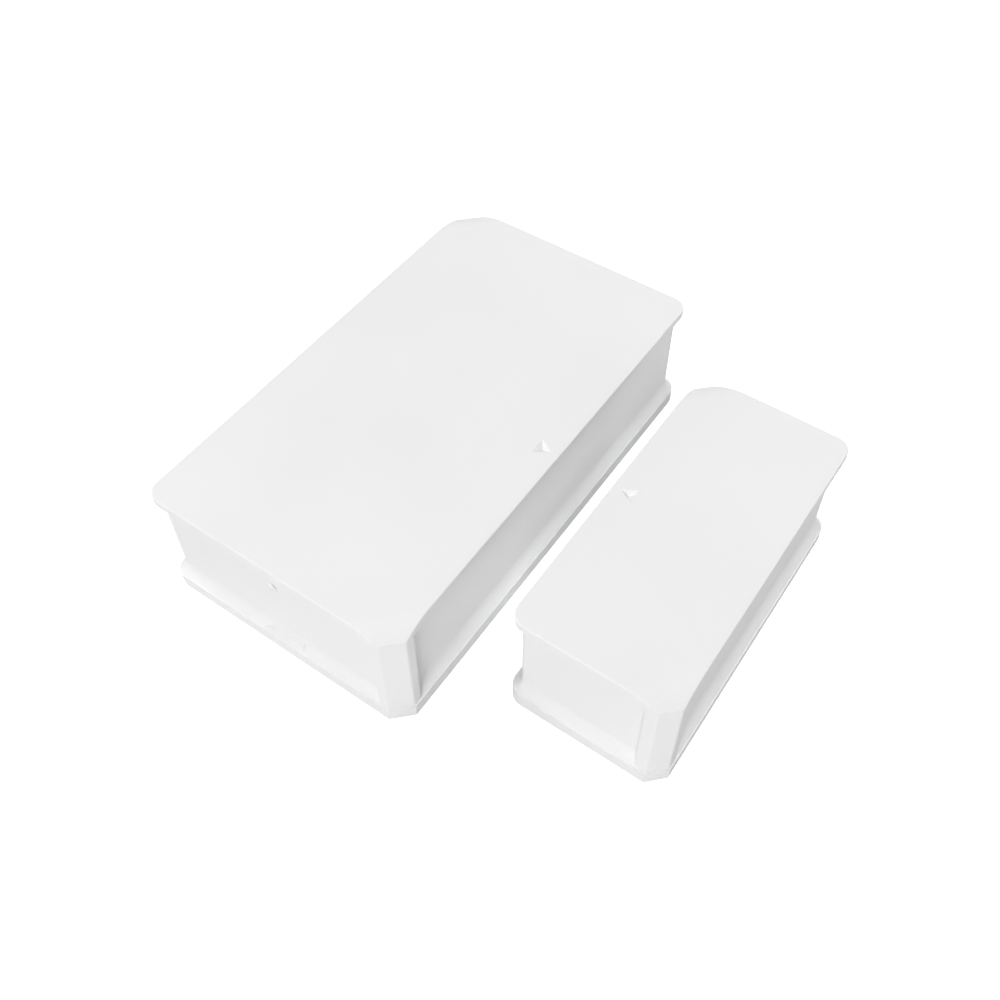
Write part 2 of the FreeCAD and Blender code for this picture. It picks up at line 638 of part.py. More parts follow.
def antenna():
    """Copper meander along the module's far end."""
    y1 = MODULE_Y + MODULE_LENGTH / 2 - ANTENNA_FROM_END
    y0 = y1 - ANTENNA_LENGTH
    z1 = CAN_Z + ANTENNA_THICK
    start = MODULE_X - (ANTENNA_LEGS - 1) * ANTENNA_PITCH / 2
    half = ANTENNA_TRACK / 2
    parts = []
    for i in range(ANTENNA_LEGS):
        x = start + i * ANTENNA_PITCH
        parts.append(block(x - half, x + half, y0, y1, CAN_Z, z1))
        if i < ANTENNA_LEGS - 1:
            y = y1 - ANTENNA_TRACK if i % 2 == 0 else y0
            parts.append(block(x, x + ANTENNA_PITCH, y, y + ANTENNA_TRACK, CAN_Z, z1))
    return fuse_all(parts)


def crystal():
    body = chip(CRYSTAL_X, CRYSTAL_Y, BOARD_TOP_Z, CRYSTAL)
    return body.makeFillet(CRYSTAL_ROUND, upright_edges(body))


def chip_row(x, pitch, count, size):
    """Loose surface-mount chips in a row, one solid each."""
    return Part.makeCompound([chip(x, CHIP_ROW_Y + i * pitch, BOARD_TOP_Z, size) for i in range(count)])


# ---- coin cell and its holder ----------------------------------------------------------------------
def coin_cell_can():
    """Steel can, the positive pole: a shallow cup that faces the base plate."""
    centre = vec(0, CELL_Y, CELL_Z)
    cup = rod(CELL_D, CELL_THICK - CELL_WALL, centre)
    cup = cup.makeFillet(CELL_ROUND, circle_edges(cup, CELL_Z - CELL_WALL, CELL_Z + CELL_WALL))
    return cup.cut(rod(CELL_D - 2 * CELL_WALL, CELL_THICK, centre + UP * CELL_WALL))


def coin_cell_cap():
    """Steel cap with the cell's filling, the negative pole."""
    core = rod(CELL_CAP_D, CELL_THICK - CELL_WALL, vec(0, CELL_Y, CELL_Z + CELL_WALL))
    return core.makeFillet(CAP_ROUND, circle_edges(core, CELL_TOP_Z - CELL_WALL, CELL_TOP_Z + CELL_WALL))


def coin_cell_gasket():
    """Ring that keeps can and cap apart."""
    height = CELL_THICK - 2 * CELL_WALL
    base = vec(0, CELL_Y, CELL_Z + CELL_WALL)
    return rod(CELL_D - 2 * CELL_WALL, height, base).cut(rod(CELL_CAP_D, height, base))


def wedge(radius, z0, z1, middle_deg, width_deg):
    """Pie slice about the cell's axis."""
    half = math.radians(width_deg / 2)
    reach = radius / math.cos(half)
    points = [vec(0, CELL_Y, z0)]
    for angle in (math.radians(middle_deg) - half, math.radians(middle_deg) + half):
        points.append(vec(reach * math.cos(angle), CELL_Y + reach * math.sin(angle), z0))
    return polygon_prism(points, vec(0, 0, z1 - z0))


def battery_holder():
    """Moulded ring under the board, open towards -Y for a fingernail and towards +Y for the clip."""
    height = BOARD_BOTTOM_Z - CELL_Z
    centre = vec(0, CELL_Y, CELL_Z)
    ring = rod(2 * HOLDER_OUTER, height, centre).cut(rod(2 * HOLDER_INNER, height, centre))
    for middle in (-90, 90):
        ring = ring.cut(wedge(2 * HOLDER_OUTER, CELL_Z, OPENING_TOP_Z, middle, HOLDER_OPENING_DEG))
    return ring


def battery_positive_clip():
    """Curved steel strip beside the cell, with an arm and a leg that reach the board."""
    inner = CELL_D / 2 + CLIP_GAP
    strip_z = CELL_Z + CLIP_LIFT
    height = OPENING_TOP_Z - strip_z
    centre = vec(0, CELL_Y, strip_z)
    strip = rod(2 * (inner + CLIP_THICK), height, centre).cut(rod(2 * inner, height, centre))
    strip = strip.common(wedge(2 * inner, strip_z, OPENING_TOP_Z, 90, CLIP_DEG))
    arm_y = CELL_Y + inner + CLIP_THICK / 2
    leg_y = CELL_Y + HOLDER_OUTER + CLIP_ARM_REACH
    half = CLIP_ARM_WIDTH / 2
    arm = block(-half, half, arm_y, leg_y, OPENING_TOP_Z - CLIP_THICK, OPENING_TOP_Z)
    leg = block(-half, half, leg_y - CLIP_THICK, leg_y, OPENING_TOP_Z - CLIP_THICK, BOARD_BOTTOM_Z)
    return fuse_all([strip, arm, leg])


def battery_negative_contact():
    """Arched leaf between the board and the cell's cap."""
    low = CELL_TOP_Z + LEAF_GAP
    high = BOARD_BOTTOM_Z
    right = [
        (LEAF_HALF, high - LEAF_THICK),
        (LEAF_HALF, high),
        (LEAF_HALF - LEAF_FOOT, high),
        (LEAF_CROWN, low + LEAF_THICK),
    ]
    left = [(-y, z) for y, z in reversed(right)]
    under = [
        (-LEAF_HALF + LEAF_FOOT + LEAF_MITRE, high - LEAF_THICK),
        (-LEAF_CROWN - LEAF_MITRE, low),
        (LEAF_CROWN + LEAF_MITRE, low),
        (LEAF_HALF - LEAF_FOOT - LEAF_MITRE, high - LEAF_THICK),
    ]
    points = [vec(-LEAF_WIDTH / 2, CELL_Y + y, z) for y, z in right + left + under]
    return polygon_prism(points, vec(LEAF_WIDTH, 0))


# ---- magnet ----------------------------------------------------------------------------------------
def bar_magnet():
    bar = centred_block(MAGNET_X, 0, BAR_Z, BAR_WIDTH, BAR_LENGTH, BAR_HEIGHT)
    return bar.makeChamfer(BAR_CHAMFER, bar.Edges)


def magnet_foam():
    return centred_block(MAGNET_X, 0, BAR_Z - FOAM_THICK, BAR_WIDTH - 2 * FOAM_SIDE_GAP,
                         BAR_LENGTH - 2 * FOAM_END_GAP, FOAM_THICK)


PIECES = {
    "sensor_base_plate": sensor_base,
    "sensor_adhesive_pad": lambda: adhesive_pad(SENSOR),
    "sensor_top_shell": sensor_shell,
    "circuit_board": circuit_board,
    "reed_switch_glass": reed_glass,
    "reed_blade_fixed": fixed_blade,
    "reed_blade_moving": moving_blade,
    "reed_switch_lead": lambda: reed_lead(1),
    "radio_module_board": radio_module_board,
    "radio_shield_can": radio_shield_can,
    "radio_chip": radio_chip,
    "antenna": antenna,
    "crystal": crystal,
    "chip_capacitors": lambda: chip_row(CAPACITOR_X, CAPACITOR_PITCH, CAPACITOR_COUNT, CAPACITOR),
    "chip_resistors": lambda: chip_row(RESISTOR_X, RESISTOR_PITCH, RESISTOR_COUNT, RESISTOR),
    "status_led": status_led,
    "pairing_switch_body": switch_body,
    "pairing_switch_cover": switch_cover,
    "pairing_switch_dome": switch_dome,
    "pairing_switch_plunger": switch_plunger,
    "battery_holder": battery_holder,
    "battery_positive_clip": battery_positive_clip,
    "battery_negative_contact": battery_negative_contact,
    "coin_cell_can": coin_cell_can,
    "coin_cell_cap": coin_cell_cap,
    "coin_cell_gasket": coin_cell_gasket,
    "magnet_base_plate": magnet_base,
    "magnet_adhesive_pad": lambda: adhesive_pad(MAGNET),
    "magnet_top_shell": magnet_shell,
    "bar_magnet": bar_magnet,
    "magnet_foam_pad": magnet_foam,
}

os.makedirs("parts", exist_ok=True)
for piece_name, make in PIECES.items():
    save(piece_name, make())
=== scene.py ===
import json
import math

import bmesh
import bpy
from mathutils import Matrix, Vector, noise


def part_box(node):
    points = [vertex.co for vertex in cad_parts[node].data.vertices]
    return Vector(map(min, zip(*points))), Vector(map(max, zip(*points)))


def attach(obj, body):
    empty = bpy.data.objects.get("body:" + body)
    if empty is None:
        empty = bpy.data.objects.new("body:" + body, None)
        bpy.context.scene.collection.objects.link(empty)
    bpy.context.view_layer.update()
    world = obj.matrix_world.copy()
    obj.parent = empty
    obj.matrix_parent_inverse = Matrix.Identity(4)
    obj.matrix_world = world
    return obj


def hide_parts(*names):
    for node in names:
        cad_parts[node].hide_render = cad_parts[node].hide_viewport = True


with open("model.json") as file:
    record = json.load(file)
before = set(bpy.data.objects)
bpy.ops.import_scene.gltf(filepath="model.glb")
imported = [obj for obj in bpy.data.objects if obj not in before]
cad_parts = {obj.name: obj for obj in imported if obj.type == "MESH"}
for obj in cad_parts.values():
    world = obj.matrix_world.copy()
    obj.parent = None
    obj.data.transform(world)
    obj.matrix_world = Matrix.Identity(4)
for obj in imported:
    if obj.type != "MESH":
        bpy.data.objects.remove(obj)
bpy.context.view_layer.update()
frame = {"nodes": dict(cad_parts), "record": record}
nodes = frame["nodes"]
slot_of = {part["node"]: part["material_slot"] for part in frame["record"]["subparts"]}
scene = bpy.context.scene

MM = 0.001


def direction(azimuth, elevation):
    """Unit vector away from the object. The angles count from the front and from the floor, in degrees."""
    a, e = math.radians(azimuth), math.radians(elevation)
    return Vector((math.sin(a) * math.cos(e), -math.cos(a) * math.cos(e), math.sin(e)))


# ---- camera ----------------------------------------------------------------------------------------
CAMERA_AT = Vector((45.31, -53.71, 89.97)) * MM
CAMERA_AZIMUTH, CAMERA_ELEVATION = 34.56, 51.11
CAMERA_LENS = 40.64
CAMERA_SHIFT = (-0.0102, -0.0395)
CAMERA_SENSOR = 36.0        # width in millimetres, as the lens
CAMERA_CLIP = (0.005, 20.0)


def add_camera():
    """Level camera that looks back along its direction."""
    back = direction(CAMERA_AZIMUTH, CAMERA_ELEVATION)
    right = Vector((0, 0, 1)).cross(back).normalized()
    up = back.cross(right)
    data = bpy.data.cameras.new("camera")
    data.sensor_width = CAMERA_SENSOR
    data.lens = CAMERA_LENS
    data.shift_x, data.shift_y = CAMERA_SHIFT
    data.clip_start, data.clip_end = CAMERA_CLIP
    camera = bpy.data.objects.new("camera", data)
    turn = Matrix((right, up, back)).transposed().to_4x4()
    camera.matrix_world = Matrix.Translation(CAMERA_AT) @ turn
    scene.collection.objects.link(camera)
    scene.camera = camera


# ---- light -----------------------------------------------------------------------------------------
FLOOR_TONE = 0.8
FLOOR_REACH = 3.0           # metres from the middle to each side
FLOOR_Z = -0.03             # millimetres; just clear of the pads, so that the faces do not coincide
RIG_MIDDLE = Vector((0.010, 0, 0))
RIG_RADIUS, RIG_BOX_SIZE = 0.8, 0.3     # metres
RIG_BOXES = {
    # name: (azimuth, elevation, power in watts)
    "front": (20, 38, 3.45),
    "front_low": (20, 18, 0.88),
    "overhead": (0, 90, 0.95),
    "back_right": (135, 50, 0.74),
    "left": (270, 45, 2.52),
    "left_low": (270, 10, 1.00),
}
NEAR_BOXES = {
    # name: (place in metres, side of the square in metres, power in watts)
    "back_near": ((0.055, 0.160, 0.070), 0.05, 0.045),
    "back_low": ((0.045, 0.200, 0.040), 0.06, 0.085),
}
NO_GLARE = ("front", "left_low")    # left out of reflections, or the tops would glare from behind
SKY_IN_REFLECTIONS = 0.2    # strength; to the camera the sky is white


def on_rig(azimuth, elevation):
    """Place on the rig's sphere, to the millimetre."""
    return [round(c, 3) for c in RIG_MIDDLE + RIG_RADIUS * direction(azimuth, elevation)]


def add_softbox(name, at, size, power):
    """Square light that points at the origin and that the camera doesn't see."""
    data = bpy.data.lights.new(name, "AREA")
    data.energy = power
    data.size = size
    light = bpy.data.objects.new(name, data)
    turn = (-Vector(at)).to_track_quat("-Z", "Y").to_matrix().to_4x4()
    light.matrix_world = Matrix.Translation(Vector(at)) @ turn
    light.visible_camera = False
    light.visible_glossy = name not in NO_GLARE
    scene.collection.objects.link(light)


# ---- materials -------------------------------------------------------------------------------------
NOISE_LOW, NOISE_HIGH = 0.3, 0.7    # most of a noise texture's values lie between these
WAVE_REPEAT = math.pi / 10          # period of a wave texture at scale 1


class Look:
    """One material, built from texture nodes in object coordinates (metres)."""

    def __init__(self, name, **settings):
        self.material = bpy.data.materials.new(name)
        self.material.use_nodes = True
        self.tree = self.material.node_tree
        self.surface = self.tree.nodes["Principled BSDF"]
        self.place = self.add("ShaderNodeTexCoord").outputs["Object"]
        self.top_normal = None
        for setting, value in settings.items():
            socket = setting.replace("_", " ").title().replace("Ior", "IOR")
            self.surface.inputs[socket].default_value = value

    def add(self, kind, **settings):
        node = self.tree.nodes.new(kind)
        for key, value in settings.items():
            setattr(node, key, value)
        return node

    def join(self, source, target):
        self.tree.links.new(source, target)

    def placed(self, scale=(1, 1, 1), middle_mm=(0, 0, 0)):
        """Coordinates measured from a point, and scaled by a different factor along each axis."""
        node = self.add("ShaderNodeMapping")
        self.join(self.place, node.inputs["Vector"])
        node.inputs["Scale"].default_value = scale
        node.inputs["Location"].default_value = [-m * MM * s for m, s in zip(middle_mm, scale)]
        return node.outputs["Vector"]

    def noise(self, grain_mm, detail=2.0, place=None, roughness=0.5):
        node = self.add("ShaderNodeTexNoise")
        self.join(place or self.place, node.inputs["Vector"])
        node.inputs["Scale"].default_value = 1.0 / (grain_mm * MM)
        node.inputs["Detail"].default_value = detail
        node.inputs["Roughness"].default_value = roughness
        return node.outputs["Fac"]

    def cells(self, size_mm, feature="F1", place=None):
        node = self.add("ShaderNodeTexVoronoi", feature=feature)
        self.join(place or self.place, node.inputs["Vector"])
        node.inputs["Scale"].default_value = 1.0 / (size_mm * MM)
        return node.outputs["Distance"]

    def wave(self, pitch_mm, direction, wander=0.0, place=None):
        """Ridges pitch_mm apart along X or Y, or rings round the Z axis."""
        rings = direction == "Z"
        node = self.add("ShaderNodeTexWave", wave_type="RINGS" if rings else "BANDS")
        if rings:
            node.rings_direction = "Z"
        else:
            node.bands_direction = direction
        self.join(place or self.place, node.inputs["Vector"])
        node.inputs["Scale"].default_value = WAVE_REPEAT / (pitch_mm * MM)
        node.inputs["Distortion"].default_value = wander
        node.inputs["Detail"].default_value = 1.0
        return node.outputs["Fac"]

    def combine(self, operation, a, b):
        node = self.add("ShaderNodeMath", operation=operation)
        self.join(a, node.inputs[0])
        self.join(b, node.inputs[1])
        return node.outputs["Value"]

    def remap(self, value, low, high, from_low=NOISE_LOW, from_high=NOISE_HIGH):
        node = self.add("ShaderNodeMapRange")
        self.join(value, node.inputs["Value"])
        node.inputs["From Min"].default_value = from_low
        node.inputs["From Max"].default_value = from_high
        node.inputs["To Min"].default_value = low
        node.inputs["To Max"].default_value = high
        return node.outputs["Result"]

    def colour(self, value, stops):
        node = self.add("ShaderNodeValToRGB")
        elements = node.color_ramp.elements
        while len(elements) < len(stops):
            elements.new(0.5)
        for element, (position, colour) in zip(elements, stops):
            element.position = position
            element.color = (*colour, 1.0)
        self.join(value, node.inputs["Fac"])
        self.join(node.outputs["Color"], self.surface.inputs["Base Color"])

    def roughness(self, value, low, high):
        self.join(self.remap(value, low, high), self.surface.inputs["Roughness"])

    def bump(self, height, depth_mm, strength=1.0):
        """Adds relief on top of what is there already."""
        node = self.add("ShaderNodeBump")
        node.inputs["Strength"].default_value = strength
        node.inputs["Distance"].default_value = depth_mm * MM
        self.join(height, node.inputs["Height"])
        if self.top_normal:
            self.join(self.top_normal, node.inputs["Normal"])
        self.top_normal = node.outputs["Normal"]
        self.join(self.top_normal, self.surface.inputs["Normal"])


def shades(colour, *factors):
    """The colour made lighter or darker, for the stops of a ramp over a noise texture."""
    last = max(len(factors) - 1, 1)
    span = NOISE_HIGH - NOISE_LOW
    return [(NOISE_LOW + span * i / last, tuple(min(c * f, 1.0) for c in colour))
            for i, f in enumerate(factors)]


def moulded(name, colour, rough, grain_mm=0.09, depth_mm=0.004, level=0.45):
    """Moulded plastic: the tool's fine spark-worn grain over a slow drift in shade and flatness."""
    look = Look(name, specular_ior_level=level)
    drift = look.noise(14.0, detail=1.0)
    look.colour(drift, shades(colour, 0.985, 1.0, 1.01))
    spark = look.noise(grain_mm, detail=3.0)
    look.roughness(spark, *rough)
    look.bump(spark, depth_mm, 0.35)
    look.bump(drift, 0.02, 0.15)
    return look


def glass_filled(name, colour):
    """Nylon with short glass fibres that show as pale flecks in the skin."""
    look = Look(name, specular_ior_level=0.4)
    fibres = look.noise(0.12, detail=4.0, place=look.placed((1.0, 5.0, 3.0)), roughness=0.6)
    look.colour(fibres, shades(colour, 0.7, 1.0, 1.9))
    look.roughness(fibres, 0.42, 0.6)
    look.bump(fibres, 0.008, 0.4)
    return look


def rolled_metal(name, colour, rough, along, grain_mm=0.07):
    """Sheet or wire with rolling marks that run along one axis, and a few dull stains."""
    look = Look(name, metallic=1.0)
    streaks = look.noise(grain_mm, detail=5.0, place=look.placed(along))
    stains = look.noise(1.6, detail=3.0)
    both = look.combine("ADD", streaks, stains)
    look.colour(look.remap(both, NOISE_LOW, NOISE_HIGH, 0.7, 1.3), shades(colour, 0.9, 1.0, 1.04))
    look.roughness(streaks, *rough)
    look.bump(streaks, 0.001, 0.25)
    return look


def turned_steel(name, colour):
    """Pressed cell can: fine rings about the cell's axis, faint scuffs across them."""
    low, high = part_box("coin_cell_can")
    middle = [(a + b) / 2 / MM for a, b in zip(low, high)]
    look = Look(name, metallic=1.0)
    rings = look.wave(0.16, "Z", wander=0.6, place=look.placed(middle_mm=(middle[0], middle[1], 0)))
    scuffs = look.noise(0.5, detail=6.0, place=look.placed((1.0, 9.0, 1.0)), roughness=0.7)
    look.colour(scuffs, shades(colour, 0.88, 1.0, 1.04))
    look.roughness(look.combine("MULTIPLY", rings, scuffs), 0.28, 0.42)
    look.bump(rings, 0.001, 0.2)
    look.bump(scuffs, 0.002, 0.15)
    return look


def plated(name, colour, rough):
    """Electroplated metal with a slight orange peel and pin-point pits."""
    look = Look(name, metallic=1.0)
    peel = look.noise(0.35, detail=2.0)
    look.colour(look.noise(3.0, detail=3.0), shades(colour, 0.93, 1.0, 1.04))
    look.roughness(peel, *rough)
    look.bump(peel, 0.001, 0.12)
    look.bump(look.remap(look.cells(0.5), 0.0, 1.0, 0.0, 0.12), 0.002, 0.15)
    return look


def laminate(name, colour):
    """Solder mask over woven glass cloth: the weave shows through as a fine grid."""
    look = Look(name, specular_ior_level=0.5, coat_weight=0.35, coat_roughness=0.18)
    weave = look.combine("MULTIPLY", look.wave(0.46, "X", wander=0.5), look.wave(0.4, "Y", wander=0.5))
    cloud = look.noise(2.5, detail=3.0)
    both = look.combine("ADD", weave, cloud)
    look.colour(look.remap(both, NOISE_LOW, NOISE_HIGH, 0.3, 1.2), shades(colour, 0.78, 1.0, 1.22))
    look.roughness(cloud, 0.3, 0.44)
    look.bump(weave, 0.012, 0.35)
    return look


def tape(name, colour):
    """Foam tape: small closed cells under a tacky skin."""
    look = Look(name, specular_ior_level=0.4, subsurface_weight=0.1, subsurface_scale=0.0008)
    pores = look.cells(0.22)
    # painted shade: the colour darkens towards the middle of each cell, where the bump sinks into a pore
    look.colour(pores, [(0.0, tuple(c * 0.84 for c in colour)), (0.5, colour)])
    look.roughness(look.noise(0.8, detail=3.0), 0.42, 0.7)
    look.bump(pores, 0.03, 0.5)
    look.bump(look.noise(4.0), 0.05, 0.3)
    return look


def open_foam(name, colour):
    """Die-cut foam: pits with painted shade at their bottoms, and walls that grow paler up to a painted
    highlight on the rims between them.
    """
    look = Look(name, specular_ior_level=0.2, sheen_weight=0.25)
    pits = look.cells(0.42)
    fine = look.cells(0.16)
    # painted shade in the pits' bottoms and a painted highlight on their rims, both made from the foam's
    # own colour
    painted_pit_shade, crest = (tuple(c * f for c in colour) for f in (0.35, 1.5))
    look.colour(pits, [(0.05, painted_pit_shade), (0.35, colour), (0.7, crest)])
    look.roughness(fine, 0.8, 0.95)
    look.bump(pits, 0.12, 0.7)
    look.bump(fine, 0.04, 0.5)
    return look


def clear_glass(name, colour):
    """Drawn glass tube: nearly clear, with faint drawing lines along it."""
    look = Look(name, transmission_weight=1.0, ior=1.5)
    lines = look.noise(0.15, detail=2.0, place=look.placed((1.0, 0.05, 1.0)))
    look.colour(lines, shades(colour, 0.97, 1.0, 1.02))
    look.roughness(lines, 0.01, 0.05)
    look.bump(lines, 0.002, 0.3)
    return look


def milky_lens(name, colour):
    """Lamp body of milky epoxy, a little cloudy inside."""
    look = Look(name, transmission_weight=0.35, ior=1.5, subsurface_weight=0.4, subsurface_scale=0.0005)
    cloud = look.noise(0.3, detail=3.0)
    look.colour(cloud, shades(colour, 0.9, 1.0, 1.04))
    look.roughness(cloud, 0.12, 0.26)
    look.bump(cloud, 0.003, 0.2)
    return look


def fired_ceramic(name, colour):
    """Chip capacitor body: a fine speckle and a chalky surface."""
    look = Look(name, specular_ior_level=0.4)
    speckle = look.noise(0.05, detail=3.0, roughness=0.7)
    look.colour(speckle, shades(colour, 0.75, 1.0, 1.2))
    look.roughness(speckle, 0.45, 0.65)
    look.bump(speckle, 0.004, 0.4)
    return look


def ink(name, colour):
    """Screen-printed ink or masked copper: an even film with soft pinholes."""
    look = Look(name, specular_ior_level=0.4)
    film = look.noise(0.12, detail=4.0)
    look.colour(film, shades(colour, 0.88, 1.0, 1.05))
    look.roughness(film, 0.35, 0.55)
    look.bump(film, 0.004, 0.3)
    return look


ALONG_X, ALONG_Y = (0.05, 1.0, 1.0), (1.0, 0.05, 1.0)      # scales that draw a texture out into lines
looks = {
    "shell_plastic": moulded("moulded_white", (0.90, 0.90, 0.902), (0.44, 0.56)),
    "adhesive_pad": tape("foam_tape", (0.86, 0.86, 0.84)),
    "board_laminate": laminate("green_mask", (0.028, 0.19, 0.085)),
    "module_laminate": laminate("blue_mask", (0.02, 0.055, 0.13)),
    "reed_glass": clear_glass("reed_tube_glass", (0.80, 0.93, 0.87)),
    "contact_metal": rolled_metal("spring_metal", (0.72, 0.70, 0.66), (0.28, 0.42), ALONG_X),
    "tinned_steel": rolled_metal("tinned_sheet", (0.72, 0.73, 0.74), (0.38, 0.48), ALONG_Y,
                                 grain_mm=0.12),
    "chip_black": moulded("black_epoxy", (0.022, 0.022, 0.026), (0.5, 0.68), grain_mm=0.04),
    "chip_tan": fired_ceramic("tan_ceramic", (0.40, 0.29, 0.18)),
    "gold_plate": plated("gold_over_copper", (0.86, 0.64, 0.28), (0.34, 0.48)),
    "led_lens": milky_lens("milky_epoxy", (0.88, 0.91, 0.92)),
    "holder_plastic": glass_filled("black_nylon", (0.022, 0.022, 0.025)),
    "plunger_plastic": moulded("ivory_nylon", (0.74, 0.71, 0.62), (0.36, 0.5), grain_mm=0.06),
    "cell_steel": turned_steel("cell_can_steel", (0.76, 0.76, 0.75)),
    "gasket_plastic": moulded("grey_nylon", (0.16, 0.16, 0.18), (0.4, 0.55), grain_mm=0.06),
    "magnet_nickel": plated("nickel", (0.68, 0.68, 0.66), (0.26, 0.38)),
    "foam": open_foam("dark_foam", (0.055, 0.055, 0.06)),
}
masked_copper = ink("mask_over_copper", (0.05, 0.29, 0.12))
white_ink = ink("white_ink", (0.82, 0.83, 0.80))

for name, node in nodes.items():
    node.data.materials.clear()
    node.data.materials.append(looks[slot_of[name]].material)


# ---- small parts too fine for the solids -----------------------------------------------------------
SHARP_ANGLE = math.radians(38)      # edges that turn more than this stay crisp
LEAST_MITRE_COSINE = 0.3            # at a ribbon's corner, so that a sharp turn has no spike
CONE_STEPS = 6
CONE_HOLLOW = 2.4                   # exponent of a solder cone's slope; 1 would be straight
WIRE_END = ((0.8, 0.45), (0.35, 0.7))       # (out, up) as parts of the cone's radius at the wire


def size_of(name):
    """Lowest and highest corner of a node in millimetres."""
    return [Vector(c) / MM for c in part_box(name)]


def finish_piece(name, bm, body, slot, look=None):
    """Turns millimetre geometry into a named piece that rides on a body."""
    bmesh.ops.recalc_face_normals(bm, faces=bm.faces)
    bmesh.ops.scale(bm, vec=(MM, MM, MM), verts=bm.verts)
    mesh = bpy.data.meshes.new(name)
    bm.to_mesh(mesh)
    bm.free()
    mesh.shade_smooth()
    mesh.set_sharp_from_angle(angle=SHARP_ANGLE)
    mesh.materials.append((look or looks[slot]).material)
    piece = bpy.data.objects.new(name, mesh)
    scene.collection.objects.link(piece)
    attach(piece, body)
    return piece


def prism(bm, outline, along):
    """Solid between a flat outline and the same outline moved along."""
    low = [bm.verts.new(p) for p in outline]
    high = [bm.verts.new(Vector(p) + Vector(along)) for p in outline]
    bm.faces.new(low)
    bm.faces.new(high)
    for i in range(len(low)):
        j = (i + 1) % len(low)
        bm.faces.new((low[i], low[j], high[j], high[i]))


def lathe(bm, base, up, profile, steps=24):
    """Turned solid: profile is a closed loop or an open line of (radius, height) about the Z axis."""
    rings = []
    for radius, height in profile:
        centre = Vector(base) + Vector((0, 0, up * height))
        turns = [2 * math.pi * i / steps for i in range(steps)]
        rings.append([bm.verts.new(centre + Vector((radius * math.cos(t), radius * math.sin(t), 0)))
                      for t in turns])
    for lower, upper in zip(rings, rings[1:]):
        for i in range(steps):
            j = (i + 1) % steps
            bm.faces.new((lower[i], lower[j], upper[j], upper[i]))
    if profile[0] != profile[-1]:
        bm.faces.new(rings[0])
        bm.faces.new(rings[-1])


def ribbon(bm, points, width, z, rise, closed=False):
    """Flat strip with mitred corners along points (x, y), from z to z + rise."""
    count = len(points)
    sides = []
    for i, point in enumerate(points):
        here = Vector(point)
        before = Vector(points[i - 1]) if i or closed else None
        after = Vector(points[(i + 1) % count]) if i < count - 1 or closed else None
        arriving = (here - before).normalized() if before else (after - here).normalized()
        leaving = (after - here).normalized() if after else arriving
        normal = Vector((-(arriving + leaving).y, (arriving + leaving).x)).normalized()
        turn = normal.dot(Vector((-leaving.y, leaving.x)))
        reach = width / 2 / max(turn, LEAST_MITRE_COSINE)
        sides.append([here + normal * reach, here - normal * reach])
    rows = [[bm.verts.new((p.x, p.y, h)) for h in (z, z + rise) for p in pair] for pair in sides]
    links = range(count if closed else count - 1)
    for i in links:
        a, b = rows[i], rows[(i + 1) % count]
        for j, k in ((0, 1), (1, 3), (3, 2), (2, 0)):
            bm.faces.new((a[j], a[k], b[k], b[j]))
    if not closed:
        for end in (rows[0], rows[-1]):
            bm.faces.new((end[0], end[1], end[3], end[2]))


def rounded_block(bm, low, high, radius):
    """Block with rounded edges."""
    made = bmesh.ops.create_cube(bm, size=1.0)["verts"]
    middle = (Vector(low) + Vector(high)) / 2
    for vert in made:
        vert.co = middle + Vector([c * (h - l) for c, l, h in zip(vert.co, low, high)])
    edges = {edge for vert in made for edge in vert.link_edges}
    bmesh.ops.bevel(bm, geom=list(edges), offset=radius, segments=2, affect="EDGES", profile=0.5)


def fillet_outline(toe, height):
    """Concave solder fillet as (out, up) points, from the pad's toe to the top of the wetted face."""
    return [(0, 0), (toe, 0), (toe * 0.55, height * 0.16), (toe * 0.25, height * 0.42),
            (toe * 0.1, height * 0.72), (0, height)]


def solder_wedge(bm, foot, out, along, toe, height, up=1):
    """Fillet against an upright face. Its inner edge starts at foot, and out points off the face."""
    foot, out = Vector(foot), Vector(out)
    outline = [foot + out * o + Vector((0, 0, up * h)) for o, h in fillet_outline(toe, height)]
    prism(bm, outline, along)


def solder_cone(bm, at, up, radius, height, tip):
    """Joint round a wire that comes through the board, with the wire's rounded end at its tip."""
    outline = [(radius, 0)]
    for i in range(1, CONE_STEPS + 1):
        t = i / CONE_STEPS
        outline.append((tip + (radius - tip) * (1 - t) ** CONE_HOLLOW, height * t))
    outline += [(tip * out, height + tip * rise) for out, rise in WIRE_END]
    lathe(bm, at, up, outline)


def ring_outline(inner, outer, rise):
    """Closed profile of a flat ring, for lathe."""
    return [(inner, 0), (outer, 0), (outer, rise), (inner, rise), (inner, 0)]


board_low, board_high = size_of("circuit_board")
ON_TOP, BELOW = board_high.z, board_low.z
FILM = 0.035                # copper on the board
INK = 0.055                 # print over it
LEAD_RADIUS = 0.25          # of the reed switch's wires
CLIP_THICK = 0.25           # of the positive clip's sheet
clip_high = size_of("battery_positive_clip")[1]
leaf_low, leaf_high = size_of("battery_negative_contact")
holder_low, holder_high = size_of("battery_holder")
HOLDER_Y = (holder_low.y + holder_high.y) / 2
lead_high = size_of("reed_switch_lead")[1]
REED_ENDS = [(lead_high.x - LEAD_RADIUS, side * (lead_high.y - LEAD_RADIUS)) for side in (1, -1)]

